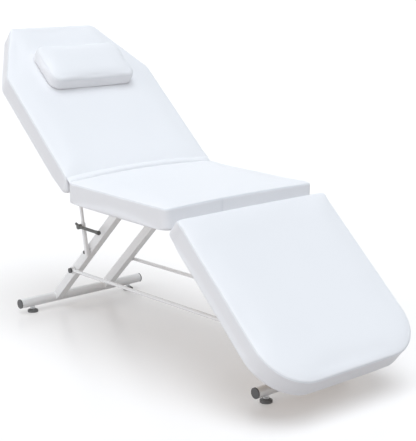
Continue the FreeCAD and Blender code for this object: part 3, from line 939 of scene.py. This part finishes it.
def set_section(name, rings, inside, below, cells, place, body, replaced, sewing, join=()):
    """Sews a section's cover, puts it in its rest place and gives it leatherette with painted shade on
    its seam and join, and stitches.
    """
    seam = len(rings) - rings_over_seam
    rings, marks = sewn_rings(rings, seam, *sewing)
    mesh = cover_mesh(name, rings, inside, below, cells)
    around = len(rings[0])
    # The seam attribute carries painted shade: it is set on the seam ring and on the join's column.
    sewn = mesh.attributes.new("seam", "FLOAT", "POINT")
    for n, mark in enumerate(marks):
        if mark:
            for i in range(around):
                sewn.data[n * around + i].value = mark
    # The join's column gets painted shade of its own strength.
    for n, i in join:
        sewn.data[n * around + i].value = join_shade
    mesh.transform(place)
    mesh.materials.append(leatherette)
    mesh.shade_smooth()
    piece = new_piece(name, mesh)
    soft = piece.modifiers.new("soft", "SUBSURF")
    soft.levels = 1
    soft.render_levels = 1
    settled(piece)
    piece.data.shade_smooth()
    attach(piece, body)
    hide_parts(*replaced)
    stitch_row(name.replace("cover", "stitches"), rings, seam + 1, place, body)
    return piece


stitch_pitch = 4.6 * mm
stitch_size = Vector((0.42, 0.42, 1.75)) * mm
thread_white = coated_finish(
    "sewing_thread", (0.80, 0.81, 0.83), (0.72, 0.73, 0.75), 300.0, 3000.0, 0.55, 0.7, 0.0001
)


def stitch_row(name, rings, seam, place, body):
    """A row of stitches in the side band, just under the seam."""
    low = rings[seam - 1]
    lower = rings[seam - 2]
    around = len(low)
    line = []
    for i in range(around):
        spot = low[i].lerp(lower[i], 0.22)
        along = low[(i + 1) % around] - low[i - 1]
        out = along.cross(low[i] - lower[i]).normalized()
        line.append(tuple(place @ (spot + out * 0.15 * mm)))
    row_piece(name, bead_row, [line], True, stitch_pitch, stitch_size, thread_white, body)


def box_corners(x0, x1, half, shift=0.0):
    low = shift - half
    high = shift + half
    return [Vector((x0, low)), Vector((x1, low)), Vector((x1, high)), Vector((x0, high))]


cover_rounds = (7 * mm, 9 * mm)
cover_shrink = 0.6 * mm
foam_pressure = 4.0
# Seam: the groove's width and depth, and how strongly painted shade darkens it.
seam_width = 2.2 * mm
seam_depth = 0.8 * mm
seam_shade = 0.8
band_seam = (seam_width, seam_depth, seam_shade)
seat_cells = (46, 56)
seat_corners = box_corners(seat_low.x, seat_high.x, half_width)
seat_place = Matrix.Translation((0, 0, underside))
seat_rings, seat_top, seat_below = padded_section(
    "seat_cover", lambda share: seat_corners, seat_radii, (0, 1, 2, 3), seat_cells, seat_thick,
    cover_rounds, cover_shrink, {"head": 1.4 * mm, "foot": 0.5 * mm}, 9 * mm, foam_pressure, True,
    3 * mm,
)


def fuller(points, edge_x, reach, rise, thick):
    """Cover points, raised towards the middle of an end edge where the foam stands fuller."""
    made = []
    for point in points:
        close = min(max(1 - abs(point.x - edge_x) / reach, 0.0), 1.0)
        middle = 1 - min(abs(point.y) / half_width, 1.0) ** 2.2
        upper = min(max(point.z / thick, 0.0), 1.0) ** 3
        lift = rise * middle * upper * close * close * (3 - 2 * close)
        made.append(point + Vector((0, 0, lift)))
    return made


for edge_x, reach, rise in ((seat_low.x, 120 * mm, 14 * mm), (seat_high.x, 90 * mm, 6 * mm)):
    seat_rings = [fuller(ring, edge_x, reach, rise, seat_thick) for ring in seat_rings]
    seat_top = fuller(seat_top, edge_x, reach, rise, seat_thick)
# The band's join on the front face: a column of painted shade with a row of stitches beside it.
join_from_middle = 8
join_start = 9
front_join = seat_cells[0] + seat_cells[1] // 2 - join_from_middle
join_rings = range(join_start, len(seat_rings) - rings_over_seam)
seat_cover = set_section(
    "seat_cover", seat_rings, seat_top, seat_below, seat_cells, seat_place, "base", ["seat_cushion"],
    band_seam, [(n, front_join) for n in join_rings],
)
join_line = [seat_place @ (seat_rings[n][front_join] + Vector((0, 2.0, 0)) * mm) for n in join_rings]
row_piece(
    "seat_join_stitches", bead_row, [[tuple(p) for p in join_line]], False, stitch_pitch, stitch_size,
    thread_white, "base",
)

# Backrest: the same make, tapered to the head, with its lower end cut on the slant so
# that it stands upright behind the seat when the section is raised.
back_thick = 59.0 * mm
pin_low, pin_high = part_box("backrest_hinge_pins")
back_hinge = (pin_low + pin_high) / 2
back_length = 760.0 * mm
hinge_drop = 6 * mm
toe_length = 16 * mm
toe_share = 0.36
shoulder_share = 0.685
head_share = 0.585


def back_corners(share):
    """The backrest's outline at a share of its thickness."""
    rise = hinge_drop + back_thick * max(share, toe_share)
    toe = toe_length * (1 - share / toe_share) if share < toe_share else 0.0
    end_x = back_hinge.x - (rise * math.tan(backrest_tilt) + toe)
    head_x = back_hinge.x - back_length
    shoulder_x = back_hinge.x - back_length * shoulder_share
    head_half = half_width * head_share
    return [
        Vector((head_x, -head_half)), Vector((shoulder_x, -half_width)), Vector((end_x, -half_width)),
        Vector((end_x, half_width)), Vector((shoulder_x, half_width)), Vector((head_x, head_half)),
    ]


def turned_place(hinge, angle, height):
    """Where a section goes that is raised to a height and then turned about its hinge."""
    about = Matrix.Translation(hinge) @ Matrix.Rotation(angle, 4, "Y") @ Matrix.Translation(-hinge)
    return about @ Matrix.Translation((0, 0, height))


back_cells = (70, 56)
back_radii = [36 * mm, 60 * mm, hinge_corner, hinge_corner, 60 * mm, 36 * mm]
back_place = turned_place(back_hinge, backrest_tilt, underside)
back_rings, back_top, back_below = padded_section(
    "backrest_cover", back_corners, back_radii, (0, 2, 3, 5), back_cells, back_thick,
    cover_rounds, cover_shrink, {"foot": 1.4 * mm}, 7.5 * mm, foam_pressure, True, 7 * mm,
)
back_cover = set_section(
    "backrest_cover", back_rings, back_top, back_below, back_cells, back_place, "backrest",
    ["backrest_cushion"], band_seam,
)

# Leg rest: the same make of foam and leatherette on a board, square at the seat and with
# large rounded foot corners. It is hinged under the seat's front edge.
leg_thick = 67.0 * mm
leg_length = 600 * mm
leg_gap = 0.5 * mm
pin_low, pin_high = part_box("legrest_hinge_pins")
leg_hinge = (pin_low + pin_high) / 2
leg_radii = [hinge_corner, 140 * mm, 140 * mm, hinge_corner]
leg_cells = (56, 56)
leg_corners = box_corners(leg_hinge.x + leg_gap, leg_hinge.x + leg_length, half_width)
leg_place = turned_place(leg_hinge, legrest_drop, underside)
leg_rings, leg_top, leg_below = padded_section(
    "legrest_cover", lambda share: leg_corners, leg_radii, (0, 1, 2, 3), leg_cells,
    leg_thick, cover_rounds, cover_shrink, {"head": 0.5 * mm}, 6 * mm, foam_pressure, True, 3 * mm,
)
leg_fullness = (leg_corners[0].x, 110 * mm, 5 * mm, leg_thick)
leg_rings = [fuller(ring, *leg_fullness) for ring in leg_rings]
leg_top = fuller(leg_top, *leg_fullness)
set_section(
    "legrest_cover", leg_rings, leg_top, leg_below, leg_cells, leg_place, "legrest",
    ["legrest_cushion"], band_seam,
)

# Pillow: a small boxed cushion of the same leatherette, lying on the backrest on
# hook-and-loop, so that its underside takes the backrest's crown.
pillow_cells = (22, 40)
pillow_middle = back_hinge.x - back_length * 0.687
pillow_base = underside + back_thick + 6.5 * mm
pillow_half = 90 * mm
pillow_half_width = 175 * mm
pillow_shift = 5 * mm
pillow_thick = 46 * mm
pillow_corner = 34 * mm
pillow_rounds = (8 * mm, 14 * mm)
pillow_pressure = 5.0
# The pillow's seam: a narrower, shallower groove with less painted shade in it.
pillow_seam = (2.0 * mm, 0.5 * mm, 0.35)
pillow_corners = box_corners(
    pillow_middle - pillow_half, pillow_middle + pillow_half, pillow_half_width, pillow_shift
)
pillow_place = turned_place(back_hinge, backrest_tilt, pillow_base)
pillow_rings, pillow_top, pillow_below = padded_section(
    "pillow_cover", lambda share: pillow_corners, [pillow_corner] * 4, (0, 1, 2, 3), pillow_cells,
    pillow_thick, pillow_rounds, 1 * mm, {}, 9 * mm, pillow_pressure, False,
)
under_back = BVHTree.FromObject(back_cover, bpy.context.evaluated_depsgraph_get())
flat_down = pillow_place.to_3x3() @ Vector((0, 0, -1))
cast_height = 60 * mm
pillow_fade = 24 * mm
pillow_foot = 6 * mm


def rest_on_back(point):
    """A low point of the pillow, set just clear of the backrest below it."""
    world = pillow_place @ point
    hit = under_back.ray_cast(world - flat_down * cast_height, flat_down)
    if hit[0] is None:
        return point
    clear = hit[0] - flat_down * 0.5 * mm
    gap = (world - clear).dot(-flat_down)
    share = min(max(1 - point.z / pillow_fade, 0.0), 1.0)
    return point - Vector((0, 0, gap * share)) if gap < 0 or point.z < pillow_foot else point


pillow_below = [rest_on_back(point) for point in pillow_below]
pillow_rings = [[rest_on_back(p) for p in ring] if n < 4 else ring for n, ring in enumerate(pillow_rings)]
set_section(
    "pillow_cover", pillow_rings, pillow_top, pillow_below, pillow_cells, pillow_place, "pillow",
    ["pillow"], pillow_seam,
)

# Gusset: a strip of the same leatherette sewn between the seat's rear edge and the
# backrest's lower edge. It rolls up when the backrest is raised and spans it when flat;
# here it is built only in its rolled shape, for the raised backrest.
gusset_rows = 15
gusset_margin = 6 * mm
gusset_columns = 57
gusset_sink = 0.6
gusset_cast = 40
seat_ground = BVHTree.FromObject(seat_cover, bpy.context.evaluated_depsgraph_get())
up_seat = Vector((0, 0, 1))
up_back = back_place.to_3x3() @ up_seat
back_run = back_place.to_3x3() @ Vector((-1, 0, 0))
back_corner = back_place @ Vector((back_corners(1.0)[2].x, 0, back_thick))
gusset_verts = []
gusset_faces = []
for j in range(gusset_columns):
    share = j / (gusset_columns - 1)
    y = (half_width - gusset_margin) * (2 * share - 1)
    full = math.sin(math.pi * (0.04 + 0.92 * share)) ** 0.7
    on_seat = Vector((seat_low.x + (4 + 7 * full) * mm, y, seat_high.z + gusset_cast * mm))
    first = seat_ground.ray_cast(on_seat, -up_seat)[0] - up_seat * gusset_sink * mm
    on_back = back_corner + back_run * (4 + 15 * full) * mm + up_back * gusset_cast * mm
    on_back = on_back + Vector((0, y, 0))
    last = under_back.ray_cast(on_back, -up_back)[0] - up_back * gusset_sink * mm
    bulge = (up_seat + up_back).normalized() * (1.5 + 7.5 * full) * mm
    for k in range(gusset_rows):
        t = k / (gusset_rows - 1)
        gusset_verts.append(first.lerp(last, t) + bulge * math.sin(math.pi * t ** 0.6) ** 0.7)
for j in range(gusset_columns - 1):
    for k in range(gusset_rows - 1):
        a = j * gusset_rows + k
        gusset_faces.append((a, a + 1, a + 1 + gusset_rows, a + gusset_rows))
gusset_mesh = bpy.data.meshes.new("gusset")
gusset_mesh.from_pydata(gusset_verts, [], gusset_faces)
gusset_mesh.materials.append(leatherette)
gusset_mesh.shade_smooth()
gusset = new_piece("gusset", gusset_mesh)
middle = gusset_columns // 2 * gusset_rows
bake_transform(gusset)

# Staples: crowns of bright zinc wire, shot from below through the turned-under hem into
# the boards, in a ring round each section.
staple_pitch = 42 * mm
staple_size = Vector((10.0, 1.2, 0.8)) * mm
staple_inset = 34 * mm
staple_height = -1.0 * mm
staple_row = along_path("staples_along", ("GeometryNodeMeshCube", {}), "X", False)
for name, corners, radii, turns, cells, place, body in (
    ("seat_staples", seat_corners, seat_radii, (0, 1, 2, 3), seat_cells, seat_place, "base"),
    ("backrest_staples", back_corners(0.0), back_radii, (0, 2, 3, 5), back_cells, back_place, "backrest"),
    ("legrest_staples", leg_corners, leg_radii, (0, 1, 2, 3), leg_cells, leg_place, "legrest"),
):
    ring = ring_of(corners, radii, staple_inset, staple_height, turns, cells)
    line = [tuple(place @ p) for p in ring]
    row_piece(name, staple_row, [line], True, staple_pitch, staple_size, zinc, body)

# Floor: a pale, faintly polished studio floor that runs on far past the table. It is
# white to the camera where it is fully lit, and throws less light back than it shows.
floor_half = 60
floor_corners = [(x * floor_half, y * floor_half, 0) for x, y in ((-1, -1), (1, -1), (1, 1), (-1, 1))]
floor_mesh = bpy.data.meshes.new("floor")
floor_mesh.from_pydata(floor_corners, [], [(0, 1, 2, 3)])
floor = new_piece("floor", floor_mesh)
floor_shown = (0.832, 0.80, 0.781, 1)
floor_bounce = (0.58, 0.55, 0.54, 1)
floor_lift = 0.20


def seen_directly(tree):
    """One for rays from the camera, a mirror or a clear body, and zero for those that light things."""
    path = add(tree, "ShaderNodeLightPath")
    mask = path.outputs["Is Camera Ray"]
    for kind in ("Is Glossy Ray", "Is Transmission Ray"):
        either = add(tree, "ShaderNodeMath")
        either.operation = "MAXIMUM"
        tree.links.new(mask, either.inputs[0])
        tree.links.new(path.outputs[kind], either.inputs[1])
        mask = either.outputs[0]
    return mask


floor_finish, floor_tree, floor_shader = new_finish("floor_white", floor_shown[:3], 0.25)
floor_shader.inputs["Specular IOR Level"].default_value = 0.15
floor_glow = add(floor_tree, "ShaderNodeEmission")
floor_sum = add(floor_tree, "ShaderNodeAddShader")
floor_clear = seen_directly(floor_tree)
floor_level = add(floor_tree, "ShaderNodeMath")
floor_level.operation = "MULTIPLY"
floor_level.inputs[1].default_value = floor_lift
floor_tone = mixer(floor_tree)
floor_tone.inputs[6].default_value = floor_bounce
floor_tone.inputs[7].default_value = floor_shown
link = joiner(floor_tree)
floor_tree.links.new(floor_clear, floor_level.inputs[0])
floor_tree.links.new(floor_clear, floor_tone.inputs["Factor"])
link(floor_tone, 2, floor_shader, "Base Color")
link(floor_level, 0, floor_glow, "Strength")
link(floor_shader, "BSDF", floor_sum, 0)
link(floor_glow, "Emission", floor_sum, 1)
link(floor_sum, "Shader", floor_tree.nodes["Material Output"], "Surface")
floor_mesh.materials.append(floor_finish)

# Light: a broad soft light from above and a weaker one from the near side, in a room
# that is white to the camera and gives a dimmer, faintly blue light.
world = bpy.data.worlds.new("studio")
bpy.context.scene.world = world
world.use_nodes = True
room_tree = world.node_tree
room = room_tree.nodes["Background"]
room_clear = seen_directly(room_tree)
room_seen = add(room_tree, "ShaderNodeMapRange", to_min=0.50, to_max=1.0)
room_tone = mixer(room_tree)
room_tone.inputs[6].default_value = (0.87, 0.935, 1.0, 1)
room_tone.inputs[7].default_value = (1.0, 1.0, 1.0, 1)
room_tree.links.new(room_clear, room_seen.inputs["Value"])
room_tree.links.new(room_clear, room_tone.inputs["Factor"])
room_tree.links.new(room_seen.outputs["Result"], room.inputs["Strength"])
room_tree.links.new(room_tone.outputs[2], room.inputs["Color"])
lamps = (
    ("overhead", 1.70, 50, (0.885, 0.945, 1.0), (-0.26, 0.10, -1.0)),
    ("near_side", 0.90, 60, (1.0, 0.975, 0.97), (0.15, 1.0, -0.25)),
)
for name, level, spread, tint, travel in lamps:
    lamp = bpy.data.lights.new(name, "SUN")
    lamp.energy = level
    lamp.angle = math.radians(spread)
    lamp.color = tint
    new_piece(name, lamp).rotation_euler = Vector(travel).to_track_quat("-Z", "Y").to_euler()

# Camera: at the photograph's distance, height and turn, tipped down a little, with its
# frame of 416 by 441.
focal_pixels = 1129.47
photo_height = 441.0
film_size = 36.0
camera_dip = 13.445
camera_turn = 49.915
lens = bpy.data.cameras.new("camera")
lens.sensor_width = film_size
lens.lens = focal_pixels * film_size / photo_height
camera = new_piece("camera", lens)
camera.location = (2.8214, -2.2635, 1.2839)
camera.rotation_euler = (math.radians(90 - camera_dip), 0.0, math.radians(camera_turn))
bpy.context.scene.camera = camera
bpy.context.scene.view_settings.view_transform = "Standard"
